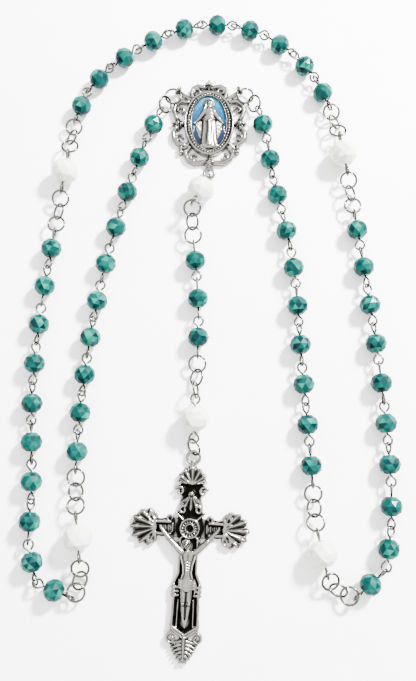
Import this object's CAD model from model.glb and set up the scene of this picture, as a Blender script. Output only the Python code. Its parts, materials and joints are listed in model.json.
import json
import math

import bpy
import numpy as np
from mathutils import Matrix, Vector


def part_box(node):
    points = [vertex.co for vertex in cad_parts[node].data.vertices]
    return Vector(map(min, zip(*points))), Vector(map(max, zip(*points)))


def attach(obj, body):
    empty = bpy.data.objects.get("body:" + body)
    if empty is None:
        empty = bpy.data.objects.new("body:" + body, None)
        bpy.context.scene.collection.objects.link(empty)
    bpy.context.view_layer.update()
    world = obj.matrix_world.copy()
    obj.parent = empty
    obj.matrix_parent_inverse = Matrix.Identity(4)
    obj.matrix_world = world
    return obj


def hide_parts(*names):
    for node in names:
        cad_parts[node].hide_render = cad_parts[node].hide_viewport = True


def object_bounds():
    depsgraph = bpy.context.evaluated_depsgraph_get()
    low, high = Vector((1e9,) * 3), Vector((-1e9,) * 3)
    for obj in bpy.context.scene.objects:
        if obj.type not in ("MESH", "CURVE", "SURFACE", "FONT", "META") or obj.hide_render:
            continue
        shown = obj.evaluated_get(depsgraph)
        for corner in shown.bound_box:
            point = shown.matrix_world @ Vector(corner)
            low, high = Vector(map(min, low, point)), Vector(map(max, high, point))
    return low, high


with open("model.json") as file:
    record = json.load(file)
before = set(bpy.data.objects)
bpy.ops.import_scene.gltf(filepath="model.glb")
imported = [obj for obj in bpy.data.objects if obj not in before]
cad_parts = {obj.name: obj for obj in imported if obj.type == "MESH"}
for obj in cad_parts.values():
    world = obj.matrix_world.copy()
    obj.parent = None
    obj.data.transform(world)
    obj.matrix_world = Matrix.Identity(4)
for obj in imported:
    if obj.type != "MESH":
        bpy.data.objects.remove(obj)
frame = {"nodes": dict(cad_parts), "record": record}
cadLow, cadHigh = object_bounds()
mm = 0.001
print("frame loaded")

# ---- shared finish helpers


def newMaterial(name):
    material = bpy.data.materials.new(name)
    material.use_nodes = True
    tree = material.node_tree
    tree.nodes.clear()
    output = tree.nodes.new("ShaderNodeOutputMaterial")
    shader = tree.nodes.new("ShaderNodeBsdfPrincipled")
    tree.links.new(shader.outputs["BSDF"], output.inputs["Surface"])
    return material, tree, shader


def addNode(tree, kind, **values):
    node = tree.nodes.new(kind)
    for key, value in values.items():
        if hasattr(node, key):
            setattr(node, key, value)
        else:
            node.inputs[key.replace("_", " ")].default_value = value
    return node


def colourRamp(tree, source, stops):
    ramp = tree.nodes.new("ShaderNodeValToRGB")
    elements = ramp.color_ramp.elements
    while len(elements) < len(stops):
        elements.new(0.5)
    for element, (place, colour) in zip(elements, stops):
        element.position = place
        element.color = (*colour, 1)
    tree.links.new(source, ramp.inputs["Fac"])
    return ramp.outputs["Color"]


def surfaceNoise(tree, scale, detail=3.0, roughness=0.5, distortion=0.0):
    place = tree.nodes.new("ShaderNodeTexCoord")
    noise = addNode(tree, "ShaderNodeTexNoise", Scale=scale, Detail=detail, Roughness=roughness)
    noise.inputs["Distortion"].default_value = distortion
    tree.links.new(place.outputs["Object"], noise.inputs["Vector"])
    return noise.outputs["Fac"]


def buildTarnishGroup():
    # brightness and gloss of old silver: a mask of 0 keeps it polished, 1 is the dark of a recess
    group = bpy.data.node_groups.new("oldSilver", "ShaderNodeTree")
    face = group.interface
    face.new_socket("Recess", in_out="INPUT", socket_type="NodeSocketFloat")
    face.new_socket("Bright", in_out="INPUT", socket_type="NodeSocketColor")
    face.new_socket("Dark", in_out="INPUT", socket_type="NodeSocketColor")
    face.new_socket("Stain Scale", in_out="INPUT", socket_type="NodeSocketFloat")
    face.new_socket("Color", in_out="OUTPUT", socket_type="NodeSocketColor")
    face.new_socket("Roughness", in_out="OUTPUT", socket_type="NodeSocketFloat")
    entry = group.nodes.new("NodeGroupInput")
    leave = group.nodes.new("NodeGroupOutput")
    place = group.nodes.new("ShaderNodeTexCoord")
    noise = addNode(group, "ShaderNodeTexNoise", Detail=4.0, Roughness=0.6)
    group.links.new(place.outputs["Object"], noise.inputs["Vector"])
    group.links.new(entry.outputs["Stain Scale"], noise.inputs["Scale"])
    stain = addNode(group, "ShaderNodeMapRange")
    for key, value in (("From Min", 0.45), ("From Max", 0.8), ("To Min", 0.0), ("To Max", 0.35)):
        stain.inputs[key].default_value = value
    group.links.new(noise.outputs["Fac"], stain.inputs["Value"])
    total = addNode(group, "ShaderNodeMath", operation="ADD", use_clamp=True)
    group.links.new(entry.outputs["Recess"], total.inputs[0])
    group.links.new(stain.outputs["Result"], total.inputs[1])
    mix = addNode(group, "ShaderNodeMix", data_type="RGBA")
    group.links.new(total.outputs["Value"], mix.inputs["Factor"])
    group.links.new(entry.outputs["Bright"], mix.inputs[6])
    group.links.new(entry.outputs["Dark"], mix.inputs[7])
    group.links.new(mix.outputs[2], leave.inputs["Color"])
    rough = addNode(group, "ShaderNodeMapRange")
    rough.inputs["To Min"].default_value = 0.16
    rough.inputs["To Max"].default_value = 0.5
    group.links.new(total.outputs["Value"], rough.inputs["Value"])
    group.links.new(rough.outputs["Result"], leave.inputs["Roughness"])
    return group


oldSilver = buildTarnishGroup()


def silverFinish(name, values, recessAttribute=None):
    material, tree, shader = newMaterial(name)
    shader.inputs["Metallic"].default_value = 1.0
    group = tree.nodes.new("ShaderNodeGroup")
    group.node_tree = oldSilver
    group.inputs["Bright"].default_value = (*values["bright"], 1)
    group.inputs["Dark"].default_value = (*values["dark"], 1)
    group.inputs["Stain Scale"].default_value = values["stainScale"]
    if recessAttribute:
        recess = addNode(tree, "ShaderNodeAttribute", attribute_name=recessAttribute)
        tree.links.new(recess.outputs["Fac"], group.inputs["Recess"])
    tree.links.new(group.outputs["Color"], shader.inputs["Base Color"])
    tree.links.new(group.outputs["Roughness"], shader.inputs["Roughness"])
    return material


def beadFinish(name, values):
    # glass with a lustre coat: each facet takes its own tint from the way it faces
    material, tree, shader = newMaterial(name)
    place = tree.nodes.new("ShaderNodeTexCoord")
    facing = addNode(tree, "ShaderNodeVectorMath", operation="SCALE")
    facing.inputs["Scale"].default_value = values["facetSpread"]
    tree.links.new(place.outputs["Normal"], facing.inputs[0])
    where = addNode(tree, "ShaderNodeVectorMath", operation="SCALE")
    where.inputs["Scale"].default_value = values["beadSpread"]
    tree.links.new(place.outputs["Object"], where.inputs[0])
    both = addNode(tree, "ShaderNodeVectorMath", operation="ADD")
    tree.links.new(facing.outputs["Vector"], both.inputs[0])
    tree.links.new(where.outputs["Vector"], both.inputs[1])
    noise = addNode(tree, "ShaderNodeTexNoise", Scale=1.0, Detail=1.5, Roughness=0.5)
    tree.links.new(both.outputs["Vector"], noise.inputs["Vector"])
    colour = colourRamp(tree, noise.outputs["Fac"], values["stops"])
    tree.links.new(colour, shader.inputs["Base Color"])
    shader.inputs["Roughness"].default_value = values["roughness"]
    shader.inputs["Coat Weight"].default_value = values["coat"]
    shader.inputs["Coat Roughness"].default_value = values["coatRoughness"]
    shader.inputs["Specular IOR Level"].default_value = values["gloss"]
    return material


def enamelFinish(name, values):
    # fired blue glass over metal: light where it is thin near the top, mottled by its firing
    material, tree, shader = newMaterial(name)
    place = tree.nodes.new("ShaderNodeTexCoord")
    parts = tree.nodes.new("ShaderNodeSeparateXYZ")
    tree.links.new(place.outputs["Object"], parts.inputs["Vector"])
    height = addNode(tree, "ShaderNodeMapRange")
    height.inputs["From Min"].default_value = -values["halfHeight"]
    height.inputs["From Max"].default_value = values["halfHeight"]
    tree.links.new(parts.outputs["Y"], height.inputs["Value"])
    mottle = surfaceNoise(tree, values["mottleScale"], detail=5.0, roughness=0.65)
    blend = addNode(tree, "ShaderNodeMath", operation="MULTIPLY_ADD")
    blend.inputs[1].default_value = values["mottle"]
    tree.links.new(mottle, blend.inputs[0])
    tree.links.new(height.outputs["Result"], blend.inputs[2])
    shift = addNode(tree, "ShaderNodeMath", operation="SUBTRACT", use_clamp=True)
    shift.inputs[1].default_value = values["mottle"] / 2
    tree.links.new(blend.outputs["Value"], shift.inputs[0])
    colour = colourRamp(tree, shift.outputs["Value"], values["stops"])
    tree.links.new(colour, shader.inputs["Base Color"])
    shader.inputs["Roughness"].default_value = values["roughness"]
    shader.inputs["Specular IOR Level"].default_value = values["gloss"]
    shader.inputs["Coat Weight"].default_value = values["coat"]
    shader.inputs["Coat Roughness"].default_value = values["coatRoughness"]
    return material


wireFinish = silverFinish("polishedWire", {
    "bright": (0.085, 0.082, 0.077), "dark": (0.012, 0.011, 0.01), "stainScale": 900,
})
castFinish = silverFinish("antiquedCasting", {
    "bright": (0.18, 0.175, 0.162), "dark": (0.002, 0.0018, 0.0016), "stainScale": 700,
}, "recess")
tealFinish = beadFinish("turquoiseGlass", {
    "facetSpread": 1.9, "beadSpread": 90, "roughness": 0.35, "coat": 0.05,
    "coatRoughness": 0.03, "gloss": 0.04,
    "stops": [(0.36, (0.0, 0.009, 0.011)), (0.47, (0.0, 0.026, 0.023)), (0.56, (0.0, 0.050, 0.043)),
              (0.68, (0.008, 0.125, 0.09))],
})
whiteFinish = beadFinish("milkGlass", {
    "facetSpread": 1.6, "beadSpread": 70, "roughness": 0.25, "coat": 0.35,
    "coatRoughness": 0.03, "gloss": 0.04,
    "stops": [(0.35, (0.47, 0.49, 0.40)), (0.5, (0.62, 0.63, 0.57)), (0.7, (0.60, 0.66, 0.64))],
})
blueFinish = enamelFinish("firedBlueEnamel", {
    "halfHeight": 8.2 * mm, "mottleScale": 900, "mottle": 0.55, "roughness": 0.3, "gloss": 0.1,
    "coat": 0.1, "coatRoughness": 0.04,
    "stops": [(0.1, (0.0, 0.0015, 0.006)), (0.4, (0.0, 0.008, 0.03)), (0.75, (0.0, 0.04, 0.10)),
              (1.0, (0.008, 0.13, 0.21))],
})
print("finishes made")


def dressNodes():
    finishOf = {
        "cast_silver": castFinish, "silver_wire": wireFinish, "enamel": blueFinish,
        "teal_glass": tealFinish, "white_glass": whiteFinish,
    }
    slotOf = {part["node"]: part["material_slot"] for part in frame["record"]["subparts"]}
    for name, node in frame["nodes"].items():
        finish = finishOf[slotOf[name]]
        if not node.material_slots:
            node.data.materials.append(finish)
        for slot in node.material_slots:
            slot.material = finish


dressNodes()
print("nodes dressed")

# ---- castings in relief: a height over a grid, with a flat back


def smoothHeights(heights, passes):
    for _ in range(passes):
        padded = np.pad(heights, 1, mode="edge")
        heights = (padded[:-2, 1:-1] + padded[2:, 1:-1] + padded[1:-1, :-2] + padded[1:-1, 2:]) / 4
    return heights


patina = {
    "hollowPasses": 30, "hollowDepth": 0.13, "groundLevel": 1.15, "groundFade": 0.9, "edgePasses": 5,
}


class Relief:
    # heights in millimetres over a grid; below the floor given to mesh there is no metal
    def __init__(self, low, high, step):
        xs = np.arange(low[0], high[0] + step, step)
        ys = np.arange(low[1], high[1] + step, step)
        self.x, self.y = np.meshgrid(xs, ys)
        self.z = np.zeros_like(self.x)

    def raiseTo(self, heights):
        self.z = np.maximum(self.z, heights)

    def distance(self, start, end):
        ax, ay = start
        dx, dy = end[0] - ax, end[1] - ay
        length = dx * dx + dy * dy
        share = np.clip(((self.x - ax) * dx + (self.y - ay) * dy) / max(length, 1e-9), 0, 1)
        return np.hypot(self.x - ax - share * dx, self.y - ay - share * dy), share

    def bar(self, points, radii, level, squash=1.0):
        radii = radii if isinstance(radii, (list, tuple)) else [radii] * len(points)
        for (start, end), (r0, r1) in zip(zip(points, points[1:]), zip(radii, radii[1:])):
            away, share = self.distance(start, end)
            radius = r0 + (r1 - r0) * share
            round_ = np.sqrt(np.maximum(radius ** 2 - away ** 2, 0))
            self.raiseTo(np.where(away < radius, level + round_ * squash, 0))

    def arc(self, centre, radius, start, sweep, thickness, level, shrink=1.0, squash=1.0):
        count = max(6, int(abs(sweep) / 15))
        points, sizes = [], []
        for i in range(count + 1):
            share = i / count
            angle = math.radians(start + sweep * share)
            reach = radius * (1 + (shrink - 1) * share)
            points.append((centre[0] + reach * math.cos(angle), centre[1] + reach * math.sin(angle)))
            sizes.append(thickness * (1 - 0.25 * share))
        self.bar(points, sizes, level, squash)

    def dome(self, centre, radii, height, level=0.0):
        u = ((self.x - centre[0]) / radii[0]) ** 2 + ((self.y - centre[1]) / radii[1]) ** 2
        self.raiseTo(np.where(u < 1, level + height * np.sqrt(np.maximum(1 - u, 0)), 0))

    def plate(self, points, height):
        inside = np.zeros_like(self.x, dtype=bool)
        for (ax, ay), (bx, by) in zip(points, points[1:] + points[:1]):
            if ay == by:
                continue
            crosses = (ay > self.y) != (by > self.y)
            inside ^= crosses & (self.x < (bx - ax) * (self.y - ay) / (by - ay) + ax)
        self.raiseTo(np.where(inside, height, 0))

    def fan(self, root, aim, spread, reach, sideReach, ribs, rise, fall):
        dx, dy = self.x - root[0], self.y - root[1]
        away = np.hypot(dx, dy)
        turn = np.degrees(np.arctan2(dy, dx)) - aim
        turn = (turn + 180) % 360 - 180
        share = turn / spread
        edge = sideReach + (reach - sideReach) * np.cos(np.clip(share, -1, 1) * math.pi / 2)
        wave = 0.5 + 0.5 * np.cos(share * ribs * math.pi)
        edge = edge * (0.9 + 0.1 * wave)
        inside = (np.abs(share) < 1) & (away < edge)
        across = np.clip(away / np.maximum(edge, 1e-6), 0, 1)
        body = fall + (rise - fall) * (1 - across) ** 0.6
        groove = (0.35 + 0.65 * wave) * (0.35 + 0.65 * np.clip(away / 1.6, 0, 1))
        rim = np.sqrt(np.clip(1 - ((across - 0.86) / 0.14) ** 2, 0, 1)) * 0.25 * wave
        self.raiseTo(np.where(inside, body * (0.62 + 0.38 * groove) + rim, 0))

    def mesh(self, name, place, floor):
        shape = self.z > floor
        solid = smoothHeights(self.z, 1)
        cavity = smoothHeights(self.z, patina["hollowPasses"]) - solid
        recess = np.clip(cavity / patina["hollowDepth"], 0, 1)
        recess = recess + np.clip((patina["groundLevel"] - solid) / patina["groundFade"], 0, 1)
        cells = shape[:-1, :-1] & shape[1:, :-1] & shape[:-1, 1:] & shape[1:, 1:]
        used = np.zeros_like(shape)
        for rows in (slice(0, -1), slice(1, None)):
            for columns in (slice(0, -1), slice(1, None)):
                used[rows, columns] |= cells
        index = -np.ones(shape.shape, dtype=int)
        index[used] = np.arange(used.sum())
        count = int(used.sum())
        flatX, flatY = self.x[used].copy(), self.y[used].copy()
        top = np.stack([flatX, flatY, solid[used]], axis=1)
        back = np.stack([flatX, flatY, np.zeros(count)], axis=1)
        rows, columns = np.nonzero(cells)
        a, b = index[rows, columns], index[rows, columns + 1]
        c, d = index[rows + 1, columns + 1], index[rows + 1, columns]
        quads = np.stack([a, b, c, d], axis=1)
        sides = np.concatenate([quads[:, [0, 1]], quads[:, [1, 2]], quads[:, [2, 3]], quads[:, [3, 0]]])
        keys = {tuple(side) for side in sides.tolist()}
        rim = [side for side in keys if (side[1], side[0]) not in keys]
        neighbours = {}
        for one, other in rim:
            neighbours.setdefault(one, []).append(other)
            neighbours.setdefault(other, []).append(one)
        edge = np.array([i for i, near in neighbours.items() if len(near) == 2])
        near = np.array([neighbours[i] for i in edge])
        for _ in range(patina["edgePasses"]):
            for line in (top, back):
                line[edge, :2] = line[edge, :2] * 0.5 + line[near, :2].mean(axis=1) * 0.5
        points = np.concatenate([top, back]) * mm
        faces = quads.tolist() + (quads[:, ::-1] + count).tolist()
        faces += [[other, one, one + count, other + count] for one, other in rim]
        mesh = bpy.data.meshes.new(name)
        mesh.from_pydata(points.tolist(), [], faces)
        mesh.transform(place)
        tint = mesh.attributes.new("recess", "FLOAT", "POINT")
        tint.data.foreach_set("value", np.clip(np.tile(recess[used], 2), 0, 1))
        for polygon in mesh.polygons:
            polygon.use_smooth = polygon.index < len(quads)
        piece = bpy.data.objects.new(name, mesh)
        bpy.context.scene.collection.objects.link(piece)
        mesh.materials.append(castFinish)
        return piece


def roundBar(name, points, radius, closed=True, material=None, segments=12):
    # a round wire through points, made a mesh
    curve = bpy.data.curves.new(name, "CURVE")
    curve.dimensions = "3D"
    curve.bevel_depth = radius
    curve.bevel_resolution = segments // 4
    curve.use_fill_caps = True
    spline = curve.splines.new("POLY")
    spline.points.add(len(points) - 1)
    for slot, point in zip(spline.points, points):
        slot.co = (*point, 1)
    spline.use_cyclic_u = closed
    holder = bpy.data.objects.new(name, curve)
    bpy.context.scene.collection.objects.link(holder)
    mesh = bpy.data.meshes.new_from_object(holder.evaluated_get(bpy.context.evaluated_depsgraph_get()))
    bpy.data.objects.remove(holder)
    for polygon in mesh.polygons:
        polygon.use_smooth = True
    mesh.materials.append(material or castFinish)
    piece = bpy.data.objects.new(name, mesh)
    bpy.context.scene.collection.objects.link(piece)
    return piece


def ringPoints(centre, axis, radius, count=48):
    axis = Vector(axis).normalized()
    side = axis.orthogonal().normalized()
    other = axis.cross(side)
    turns = [2 * math.pi * i / count for i in range(count)]
    return [Vector(centre) + (side * math.cos(t) + other * math.sin(t)) * radius for t in turns]


# ---- centrepiece

medal = {
    "frame": (7.35, 10.2), "window": (5.1, 8.4), "plate": 1.0, "rim": 1.9, "border": 1.55,
    "flowers": [(0, 12.1), (0, -12.1), (9.0, 0), (-9.0, 0)], "longRay": 2.3, "shortRay": 1.65,
    "bud": (7.6, -8.1), "scallop": 0.72, "ear": (9.05, 10.1, 1.9), "earRing": 1.0, "earBar": 0.45,
    "foot": (0, -15.6, 1.2), "footRing": 1.45, "footBar": 0.45,
    "low": (-11.6, -14.6), "high": (11.6, 14.6), "step": 0.1, "floor": 0.3,
    "beads": 58, "beadRadius": 0.4, "beadLevel": 1.78, "beadInset": 0.5,
}


def figureRelief(relief):
    # a standing figure with a halo, a veil, open arms and a folded robe over a cloud
    x, y = relief.x, relief.y
    relief.dome((0, 6.1), (1.75, 1.75), 0.15, 1.75)
    for i in range(18):
        turn = math.radians(20 * i)
        tip = (1.66 * math.cos(turn), 6.1 + 1.66 * math.sin(turn))
        relief.bar([(0, 6.1), tip], [0.1, 0.16], 1.78)
    relief.dome((0, 5.0), (1.25, 1.5), 1.0, 1.5)
    relief.dome((0, 6.05), (0.98, 1.15), 0.85, 1.85)
    relief.dome((0, 6.0), (0.62, 0.78), 0.78, 2.15)
    for side in (-1, 1):
        relief.bar([(side * 0.8, 6.7), (side * 1.0, 5.2), (side * 1.5, 3.6)], [0.28, 0.34, 0.5], 2.1)
        relief.bar([(side * 1.2, 3.6), (side * 2.9, 1.2)], [0.85, 0.62], 1.75)
        relief.bar([(side * 2.9, 1.2), (side * 4.0, 0.1)], [0.55, 0.4], 1.75)
        relief.dome((side * 4.15, -0.2), (0.42, 0.5), 0.7, 1.55)
        drape = [
            (side * 1.0, 3.8), (side * 3.2, 1.3), (side * 4.0, 0.3), (side * 3.8, -2.2),
            (side * 2.6, -5.2), (side * 1.0, -2.0),
        ]
        relief.plate(drape, 1.62)
        for k in range(5):
            start = (side * (2.1 + 0.42 * k), 1.9 - 0.55 * k)
            end = (side * (2.0 + 0.36 * k), -4.4 + 0.75 * k)
            relief.bar([start, end], [0.2, 0.13], 1.66)
        for k in range(3):
            end = (side * (4.35 + 0.16 * k), -2.6 - 0.3 * k)
            relief.bar([(side * (4.05 + 0.1 * k), -0.5), end], [0.09, 0.06], 1.42)
    half = np.interp(y, [-7.3, -4.0, 0.4, 3.4, 4.6], [2.55, 2.2, 1.85, 1.9, 1.0], left=0, right=0)
    inside = np.abs(x) < half
    share = np.clip(np.abs(x) / np.maximum(half, 0.01), 0, 1)
    body = 1.45 + 1.25 * np.sqrt(np.maximum(1 - share ** 2, 0))
    folds = np.cos(x * 6.6 / np.maximum(half, 0.5) + 0.35 * np.sin(y * 0.9)) * 0.17
    swag = np.where(y > 0.6, np.cos(y * 3.1 + np.abs(x) * 1.3) * 0.07, folds)
    relief.raiseTo(np.where(inside, body + swag, 0))
    relief.bar([(-1.8, 0.9), (0, 0.45), (1.8, 0.9)], 0.22, 2.4)
    for side, lift in ((-1.9, 0.2), (0, -0.15), (1.9, 0.2), (-1.0, -0.1), (1.0, -0.1)):
        relief.dome((side, -7.35 + lift), (1.1, 0.75), 0.95, 1.5)


def flowerRelief(relief, centre):
    for i in range(8):
        turn = math.radians(45 * i)
        reach = medal["longRay"] if i % 2 == 0 else medal["shortRay"]
        out = (math.cos(turn), math.sin(turn))
        dx, dy = relief.x - centre[0], relief.y - centre[1]
        along = dx * out[0] + dy * out[1]
        across = np.abs(-dx * out[1] + dy * out[0])
        widest = 0.62 * reach
        half = np.where(along < widest, along * 0.5, (reach - along) * 0.95)
        ridge = 1.25 + 1.1 * np.clip(1 - along / reach, 0, 1)
        lift = ridge - 1.1 * across / np.maximum(half, 0.05) * 0.8
        relief.raiseTo(np.where((along > 0) & (along < reach) & (across < half), lift, 0))
    relief.dome(centre, (0.55, 0.55), 0.8, 1.7)


def centrepieceRelief():
    relief = Relief(medal["low"], medal["high"], medal["step"])
    x, y = relief.x, relief.y
    wide, tall = medal["frame"]
    inner, high = medal["window"]
    out = np.hypot(x / wide, y / tall)
    into = np.hypot(x / inner, y / high)
    relief.raiseTo(np.where(out < 1, medal["plate"], 0))
    band = (out < 1) & (into > 1)
    relief.raiseTo(np.where(band, medal["rim"] - 0.35, 0))
    scale = (wide + tall) / 2
    toEdge = (1 - out) * scale
    relief.raiseTo(np.where(band & (toEdge < 0.95), medal["border"] + 0.75 * np.sqrt(
        np.clip(1 - ((toEdge - 0.45) / 0.5) ** 2, 0, 1)), 0))
    toWindow = (into - 1) * (inner + high) / 2
    relief.raiseTo(np.where((toWindow > 0) & (toWindow < 0.42), medal["border"] + 0.6 * np.sqrt(
        np.clip(1 - ((toWindow - 0.2) / 0.22) ** 2, 0, 1)), 0))
    for side in (-1, 1):
        thick = medal["scallop"]
        runs = [
            [(1.6, 11.6), (3.3, 12.0), (4.7, 11.2), (5.2, 9.7), (4.7, 8.2)],
            [(6.2, 6.9), (8.2, 7.2), (9.9, 6.1), (10.3, 4.2), (9.6, 2.0)],
            [(9.7, -1.2), (10.5, -2.8), (10.3, -4.6), (9.2, -6.0), (7.4, -6.6)],
            [(5.7, -7.4), (6.9, -9.2), (6.3, -11.0), (4.4, -12.2), (1.8, -12.0)],
        ]
        for run in runs:
            relief.bar([(side * px, py) for px, py in run], thick, thick * 1.1, 1.15)
        for cx, cy in ((3.6, 10.2), (8.4, 4.4), (8.7, -4.3), (4.5, -10.6)):
            lean = math.degrees(math.atan2(cy, side * cx))
            relief.arc((side * cx, cy), 1.05, lean + 150, side * -290, 0.42, 1.1, 0.6)
        budX, budY = medal["bud"]
        reach = math.hypot(budX, budY)
        ox, oy = budX / reach, budY / reach
        for along, across in ((0.95, 0), (0.1, 0.85), (0.1, -0.85)):
            px, py = budX + ox * along - oy * across, budY + oy * along + ox * across
            relief.dome((side * px, py), (0.85, 0.85), 1.35, 0.5)
        relief.bar([(side * (budX - ox * 2.4), budY - oy * 2.4), (side * budX, budY)], [0.8, 0.5], 0.9)
        earX, earY = medal["ear"][:2]
        stalk = [(side * 5.3, 7.4), (side * 7.6, 9.4), (side * (earX - 0.3), earY + 0.3)]
        relief.bar(stalk, [0.75, 0.55, 0.4], 0.95)
    for centre in medal["flowers"]:
        flowerRelief(relief, centre)
    relief.bar([(0, -13.2), (0, -14.3)], [0.75, 0.5], 0.9)
    figureRelief(relief)
    return relief.mesh("centrepieceCasting", Matrix.Identity(4), medal["floor"])


def centrepieceEyes():
    pieces = []
    earX, earY, earHeight = medal["ear"]
    for side in (-1, 1):
        chain = Vector((side * (15.2 - earX), 2.4 - earY, 0)).normalized()
        axis = Vector((0, 0, 1)).cross(chain)
        centre = Vector((side * earX, earY, earHeight)) * mm
        name = "earEyeRight" if side > 0 else "earEyeLeft"
        pieces.append(roundBar(name, ringPoints(centre, axis, medal["earRing"] * mm), medal["earBar"] * mm))
    foot = Vector(medal["foot"]) * mm
    points = ringPoints(foot, (0, 0, 1), medal["footRing"] * mm)
    pieces.append(roundBar("footEye", points, medal["footBar"] * mm))
    return pieces


def beadedRimTree():
    # small beads evenly spaced round an ellipse
    tree = bpy.data.node_groups.new("beadedRim", "GeometryNodeTree")
    face = tree.interface
    face.new_socket("Geometry", in_out="INPUT", socket_type="NodeSocketGeometry")
    face.new_socket("Half Width", in_out="INPUT", socket_type="NodeSocketFloat")
    face.new_socket("Half Height", in_out="INPUT", socket_type="NodeSocketFloat")
    face.new_socket("Level", in_out="INPUT", socket_type="NodeSocketFloat")
    face.new_socket("Bead Radius", in_out="INPUT", socket_type="NodeSocketFloat")
    face.new_socket("Count", in_out="INPUT", socket_type="NodeSocketInt")
    face.new_socket("Material", in_out="INPUT", socket_type="NodeSocketMaterial")
    face.new_socket("Geometry", in_out="OUTPUT", socket_type="NodeSocketGeometry")
    entry = tree.nodes.new("NodeGroupInput")
    leave = tree.nodes.new("NodeGroupOutput")
    circle = tree.nodes.new("GeometryNodeCurvePrimitiveCircle")
    circle.inputs["Resolution"].default_value = 128
    circle.inputs["Radius"].default_value = 1.0
    size = tree.nodes.new("ShaderNodeCombineXYZ")
    tree.links.new(entry.outputs["Half Width"], size.inputs["X"])
    tree.links.new(entry.outputs["Half Height"], size.inputs["Y"])
    size.inputs["Z"].default_value = 1.0
    lift = tree.nodes.new("ShaderNodeCombineXYZ")
    tree.links.new(entry.outputs["Level"], lift.inputs["Z"])
    oval = tree.nodes.new("GeometryNodeTransform")
    tree.links.new(circle.outputs["Curve"], oval.inputs["Geometry"])
    tree.links.new(size.outputs["Vector"], oval.inputs["Scale"])
    tree.links.new(lift.outputs["Vector"], oval.inputs["Translation"])
    spaced = tree.nodes.new("GeometryNodeResampleCurve")
    tree.links.new(oval.outputs["Geometry"], spaced.inputs["Curve"])
    tree.links.new(entry.outputs["Count"], spaced.inputs["Count"])
    bead = tree.nodes.new("GeometryNodeMeshUVSphere")
    bead.inputs["Segments"].default_value = 14
    bead.inputs["Rings"].default_value = 10
    tree.links.new(entry.outputs["Bead Radius"], bead.inputs["Radius"])
    copies = tree.nodes.new("GeometryNodeInstanceOnPoints")
    tree.links.new(spaced.outputs["Curve"], copies.inputs["Points"])
    tree.links.new(bead.outputs["Mesh"], copies.inputs["Instance"])
    real = tree.nodes.new("GeometryNodeRealizeInstances")
    tree.links.new(copies.outputs["Instances"], real.inputs["Geometry"])
    finish = tree.nodes.new("GeometryNodeSetMaterial")
    tree.links.new(real.outputs["Geometry"], finish.inputs["Geometry"])
    tree.links.new(entry.outputs["Material"], finish.inputs["Material"])
    tree.links.new(finish.outputs["Geometry"], leave.inputs["Geometry"])
    return tree


def beadedRim():
    tree = beadedRimTree()
    wide, tall = medal["frame"]
    inner, high = medal["window"]
    values = {
        "Half Width": (wide + inner - medal["beadInset"]) / 2 * mm,
        "Half Height": (tall + high - medal["beadInset"]) / 2 * mm,
        "Level": medal["beadLevel"] * mm, "Bead Radius": medal["beadRadius"] * mm,
        "Count": medal["beads"], "Material": castFinish,
    }
    holder = bpy.data.objects.new("rimHolder", bpy.data.meshes.new("rimHolder"))
    bpy.context.scene.collection.objects.link(holder)
    modifier = holder.modifiers.new("beadedRim", "NODES")
    modifier.node_group = tree
    for item in tree.interface.items_tree:
        if item.item_type == "SOCKET" and item.in_out == "INPUT" and item.name in values:
            modifier[item.identifier] = values[item.name]
    mesh = bpy.data.meshes.new_from_object(holder.evaluated_get(bpy.context.evaluated_depsgraph_get()))
    bpy.data.objects.remove(holder)
    for polygon in mesh.polygons:
        polygon.use_smooth = True
    piece = bpy.data.objects.new("beadedRim", mesh)
    bpy.context.scene.collection.objects.link(piece)
    return piece


casting = centrepieceRelief()
eyes = centrepieceEyes()
for piece in [casting, beadedRim()] + eyes:
    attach(piece, "centrepiece")
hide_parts("centrepiece")
print("centrepiece made")

# ---- crucifix and corpus

cross = {
    "turn": -3.0, "fromBoxCentre": 0.973, "fromBoxTop": 2.297, "arm": -18.7, "plate": 1.25,
    "halfSpan": 16.2, "disc": 2.85, "eyeRing": 1.7, "eyeBar": 0.425, "eyeHeight": 1.0,
    "low": (-16.6, -53.4), "high": (16.6, -0.8), "step": 0.14, "floor": 0.3,
}


def crossPlace():
    low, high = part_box("crucifix")
    x = (low[0] + high[0]) / 2 + cross["fromBoxCentre"] * mm
    y = high[1] - cross["fromBoxTop"] * mm
    return Matrix.Translation((x, y, 0)) @ Matrix.Rotation(math.radians(cross["turn"]), 4, "Z")


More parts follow.
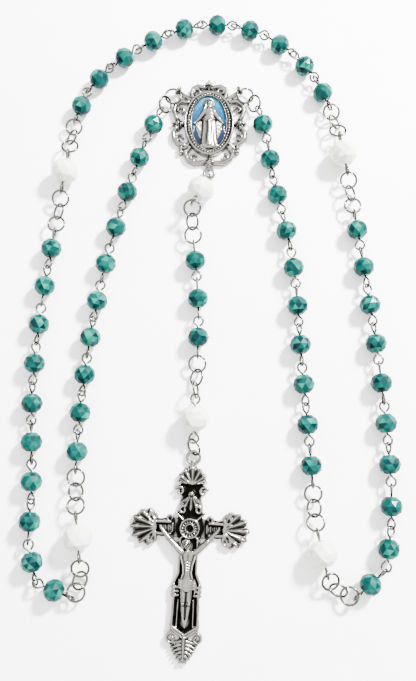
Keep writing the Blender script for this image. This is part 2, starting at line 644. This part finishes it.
def crucifixRelief():
    relief = Relief(cross["low"], cross["high"], cross["step"])
    arm, plate = cross["arm"], cross["plate"]
    relief.plate([
        (-1.0, -2.0), (1.0, -2.0), (2.3, -5.4), (3.6, -8.2), (2.6, -10.2), (3.3, -12.6), (3.3, arm + 2),
        (-3.3, arm + 2), (-3.3, -12.6), (-2.6, -10.2), (-3.6, -8.2), (-2.3, -5.4),
    ], plate * 0.6)
    relief.plate([
        (-11.2, arm - 2.1), (-5, arm - 2.6), (5, arm - 2.6), (11.2, arm - 2.1), (12.0, arm),
        (11.2, arm + 2.1), (5, arm + 2.6), (-5, arm + 2.6), (-11.2, arm + 2.1), (-12.0, arm),
    ], plate * 0.6)
    relief.plate([
        (-2.5, arm), (2.5, arm), (2.5, -30), (3.9, -33.4), (3.6, -36.6), (3.8, -44.2), (-3.8, -44.2),
        (-3.6, -36.6), (-3.9, -33.4), (-2.5, -30),
    ], plate * 0.6)
    relief.plate([(-1.5, -44), (1.5, -44), (1.2, -48), (-1.2, -48)], plate * 0.6)
    relief.fan((0, -7.4), 90, 80, 5.3, 4.3, 6, 2.5, 1.3)
    relief.fan((0, -9.4), -90, 46, 4.8, 4.3, 4, 2.3, 1.3)
    relief.dome((0, -9.6), (0.95, 0.95), 1.2, 1.4)
    for side in (-1, 1):
        relief.arc((side * 3.2, -9.0), 1.25, 90 - side * 60, side * 300, 0.5, 1.35, 0.45)
        relief.arc((side * 2.0, -13.9), 1.1, 90 + side * 20, -side * 310, 0.5, 1.3, 0.4)
        relief.fan((side * 8.6, arm), 90 - side * 90, 76, cross["halfSpan"] - 8.6, 5.0, 7, 2.3, 1.2)
        for up in (-1, 1):
            start = side * 20 - up * 90
            relief.arc((side * 10.2, arm + up * 2.95), 1.55, start, -side * up * 300, 0.5, 1.35, 0.4)
            relief.arc((side * 5.2, arm + up * 2.6), 1.05, -up * 90, side * up * 300, 0.45, 1.35, 0.4)
            relief.bar([(side * 5.6, arm + up * 1.5), (side * 9.6, arm + up * 1.4)], 0.38, 1.45)
            relief.bar([(side * 1.6, arm + up * 2.0), (side * 3.9, arm + up * 4.1)], [0.4, 0.3], 1.35)
        for k in range(9):
            px = side * (4.6 + 0.5 * k)
            relief.bar([(px, arm - 1.1), (px, arm + 1.1)], 0.12, 1.02)
        relief.bar([(side * 2.3, arm - 2.6), (side * 2.3, -30.2), (side * 3.6, -33.2)], 0.42, 1.35)
        relief.bar([(side * 3.4, -33.2), (side * 3.2, -36.6), (side * 3.45, -44.1)], 0.46, 1.55)
        relief.bar([(side * 2.0, -36.8), (side * 2.15, -43.6)], 0.3, 1.35)
        for k in range(3):
            level = -33.6 - 1.05 * k
            relief.bar([(side * 2.1, level), (side * 3.8, level - 0.1)], 0.46, 1.5)
        relief.bar([(side * 3.5, -43.4), (0, -45.6)], [0.55, 0.4], 1.5)
        relief.bar([(side * 3.2, -44.4), (0, -46.6)], [0.4, 0.35], 1.4)
        relief.arc((side * 3.35, -46.5), 1.35, 90 - side * 10, -side * 320, 0.48, 1.4, 0.4)
        for k in range(6):
            root = -46.9 - 0.9 * k
            spread = 3.5 * (1 - (k / 6) ** 1.6)
            tip = (side * spread, root - 1.0)
            relief.bar([(side * 0.1, root), tip], [0.5, 0.38], 1.15, 1.1)
    relief.bar([(0, -46.4), (0, -52.4)], [0.55, 0.3], 1.5)
    relief.dome((0, -52.2), (0.45, 0.6), 1.1, 0.9)
    relief.dome((0, arm), (cross["disc"], cross["disc"]), 0.15, 1.2)
    relief.arc((0, arm), cross["disc"] - 0.35, 0, 360, 0.4, 1.6)
    relief.arc((0, arm), 1.15, 0, 360, 0.24, 1.8)
    for k in range(16):
        turn = math.radians(22.5 * k)
        start = (1.2 * math.cos(turn), arm + 1.2 * math.sin(turn))
        end = (2.4 * math.cos(turn), arm + 2.4 * math.sin(turn))
        relief.bar([start, end], [0.16, 0.27], 1.5)
    relief.bar([(0, -1.2), (0, -3.6)], [0.8, 0.6], 1.0)
    return relief.mesh("crucifixCasting", crossPlace(), cross["floor"])


corpus = {
    "low": (-8.6, -44.4), "high": (8.6, -17.6), "step": 0.07, "floor": 0.5, "base": 1.75,
    "head": (-0.7, -22.6),
}


def corpusRelief():
    # the body in relief on its own: arms raised to the hands, head bowed, cloth at the hips
    relief = Relief(corpus["low"], corpus["high"], corpus["step"])
    x, y = relief.x, relief.y
    base = corpus["base"]
    half = np.interp(
        y, [-34.6, -33.0, -31.2, -30.0, -28.0, -26.4, -25.2, -24.2],
        [1.5, 2.0, 1.75, 1.4, 1.62, 2.1, 2.25, 1.4], left=0, right=0)
    share = np.clip(np.abs(x) / np.maximum(half, 0.01), 0, 1)
    body = base + 1.6 * np.sqrt(np.maximum(1 - share ** 2, 0))
    chest = 0.16 * np.exp(-((np.abs(x) - 0.85) ** 2 + (y + 25.9) ** 2) / 0.7)
    ribs = np.where((y > -29.3) & (y < -26.6), 0.07 * np.cos(y * 9 + np.abs(x) * 2.2), 0)
    belly = 0.12 * np.exp(-(x ** 2 + (y + 30.2) ** 2) / 0.8) - 0.16 * np.exp(-(x ** 2) / 0.03)
    relief.raiseTo(np.where(np.abs(x) < half, body + chest + ribs + belly * (y > -31), 0))
    for side in (-1, 1):
        relief.bar([(side * 1.9, -24.7), (side * 4.9, -21.9)], [1.0, 0.78], 2.2)
        relief.bar([(side * 4.9, -21.9), (side * 7.5, -18.9)], [0.76, 0.52], 2.05)
        relief.dome((side * 7.75, -18.5), (0.5, 0.55), 0.8, 1.8)
        for k in range(4):
            relief.bar([(side * 7.7, -18.5), (side * (7.35 + 0.28 * k), -17.95)], 0.13, 2.1)
        relief.bar([(side * 0.75, -32.4), (side * 0.72, -37.6)], [1.05, 0.72], 2.15)
        relief.dome((side * 0.72, -37.7), (0.66, 0.75), 1.35, 2.0)
        relief.bar([(side * 0.72, -38.2), (side * 0.45, -42.2)], [0.68, 0.42], 2.05)
    relief.bar([(-0.3, -42.0), (0.05, -43.5)], [0.45, 0.42], 2.1)
    relief.bar([(0.35, -42.0), (0.1, -43.3)], [0.42, 0.36], 2.2)
    for k in range(4):
        relief.bar([(-1.95, -31.7 - 0.62 * k), (0.1, -32.4 - 0.6 * k), (1.9, -31.8 - 0.68 * k)], 0.34, 2.85)
    relief.bar([(1.9, -31.8), (2.35, -33.2), (2.2, -35.2)], [0.45, 0.4, 0.25], 2.3)
    relief.bar([(0, -24.6), (-0.4, -23.4)], 0.62, 2.5)
    head = corpus["head"]
    relief.dome(head, (1.2, 1.35), 1.6, 2.1)
    for k in range(5):
        lean = -1.25 + 0.14 * k
        for lock in (
            [(-0.5, 1.0), (lean, 0), (lean, -1.3)],
            [(0.5, 1.0), (-lean, 0.1), (-lean * 0.9, -1.0)],
        ):
            relief.bar([(head[0] + dx, head[1] + dy) for dx, dy in lock], 0.2, 2.75)
    relief.dome((head[0], head[1] - 0.15), (0.68, 0.86), 1.1, 2.75)
    relief.bar([(head[0], head[1] + 0.2), (head[0], head[1] - 0.3)], [0.1, 0.16], 3.75)
    relief.arc(head, 1.12, 20, 140, 0.24, 3.1)
    relief.dome((head[0], head[1] - 0.95), (0.5, 0.42), 0.7, 2.75)
    heights = smoothHeights(relief.z, 1)
    relief.z = np.where(relief.z > 0, heights, 0)
    return relief.mesh("corpusFigure", crossPlace(), corpus["floor"])


def crucifixEye():
    place = crossPlace()
    ring = ringPoints((0, 0, cross["eyeHeight"] * mm), (0, 0, 1), cross["eyeRing"] * mm)
    return roundBar("crucifixEye", [place @ point for point in ring], cross["eyeBar"] * mm)


crossCasting = crucifixRelief()
crossEye = crucifixEye()
corpusFigure = corpusRelief()
for piece in (crossCasting, crossEye, corpusFigure):
    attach(piece, "crucifix")
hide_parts("crucifix")
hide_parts("corpus")
print("crucifix made")

# ---- table, light and camera

studio = {
    "tableSize": 1.2, "keyPlace": (0.30, 0.30, 0.38), "keySize": 0.08, "keyPower": 34, "skyStrength": 4.8,
    "eye": (-0.29, -101.2, 203.7), "tilt": 10.2, "lens": 63.95,
}


def table():
    mesh = bpy.data.meshes.new("table")
    half = studio["tableSize"] / 2
    corners = [(-half, -half, 0), (half, -half, 0), (half, half, 0), (-half, half, 0)]
    mesh.from_pydata(corners, [], [(0, 1, 2, 3)])
    piece = bpy.data.objects.new("table", mesh)
    piece.location = (0, -0.065, min(cadLow[2], 0) - 0.00003)
    bpy.context.scene.collection.objects.link(piece)
    material, tree, shader = newMaterial("palePaper")
    grain = surfaceNoise(tree, 60, detail=4)
    colour = colourRamp(tree, grain, [(0.3, (0.90, 0.90, 0.895)), (0.7, (0.93, 0.93, 0.925))])
    tree.links.new(colour, shader.inputs["Base Color"])
    shader.inputs["Roughness"].default_value = 0.9
    mesh.materials.append(material)


def lights():
    world = bpy.data.worlds.new("softRoom")
    bpy.context.scene.world = world
    world.use_nodes = True
    tree = world.node_tree
    background = tree.nodes["Background"]
    place = tree.nodes.new("ShaderNodeTexCoord")
    parts = tree.nodes.new("ShaderNodeSeparateXYZ")
    tree.links.new(place.outputs["Generated"], parts.inputs["Vector"])
    sky = colourRamp(tree, parts.outputs["Z"], [
        (0.0, (0.35, 0.35, 0.35)), (0.12, (0.03, 0.03, 0.03)), (0.42, (0.06, 0.06, 0.06)),
        (0.62, (0.9, 0.9, 0.9)), (1.0, (1.0, 1.0, 1.0)),
    ])
    tree.links.new(sky, background.inputs["Color"])
    background.inputs["Strength"].default_value = studio["skyStrength"]
    key = bpy.data.lights.new("window", "AREA")
    key.size = studio["keySize"]
    key.energy = studio["keyPower"]
    lamp = bpy.data.objects.new("window", key)
    middle = Vector((0, -0.06, 0))
    lamp.location = middle + Vector(studio["keyPlace"])
    lamp.rotation_euler = (middle - lamp.location).to_track_quat("-Z", "Y").to_euler()
    bpy.context.scene.collection.objects.link(lamp)


def cameraView():
    data = bpy.data.cameras.new("camera")
    data.sensor_fit = "HORIZONTAL"
    data.lens = studio["lens"]
    data.clip_start = 0.01
    camera = bpy.data.objects.new("camera", data)
    camera.location = Vector(studio["eye"]) * mm
    camera.rotation_euler = (math.radians(studio["tilt"]), 0, 0)
    bpy.context.scene.collection.objects.link(camera)
    bpy.context.scene.camera = camera


table()
lights()
cameraView()
print("studio set")
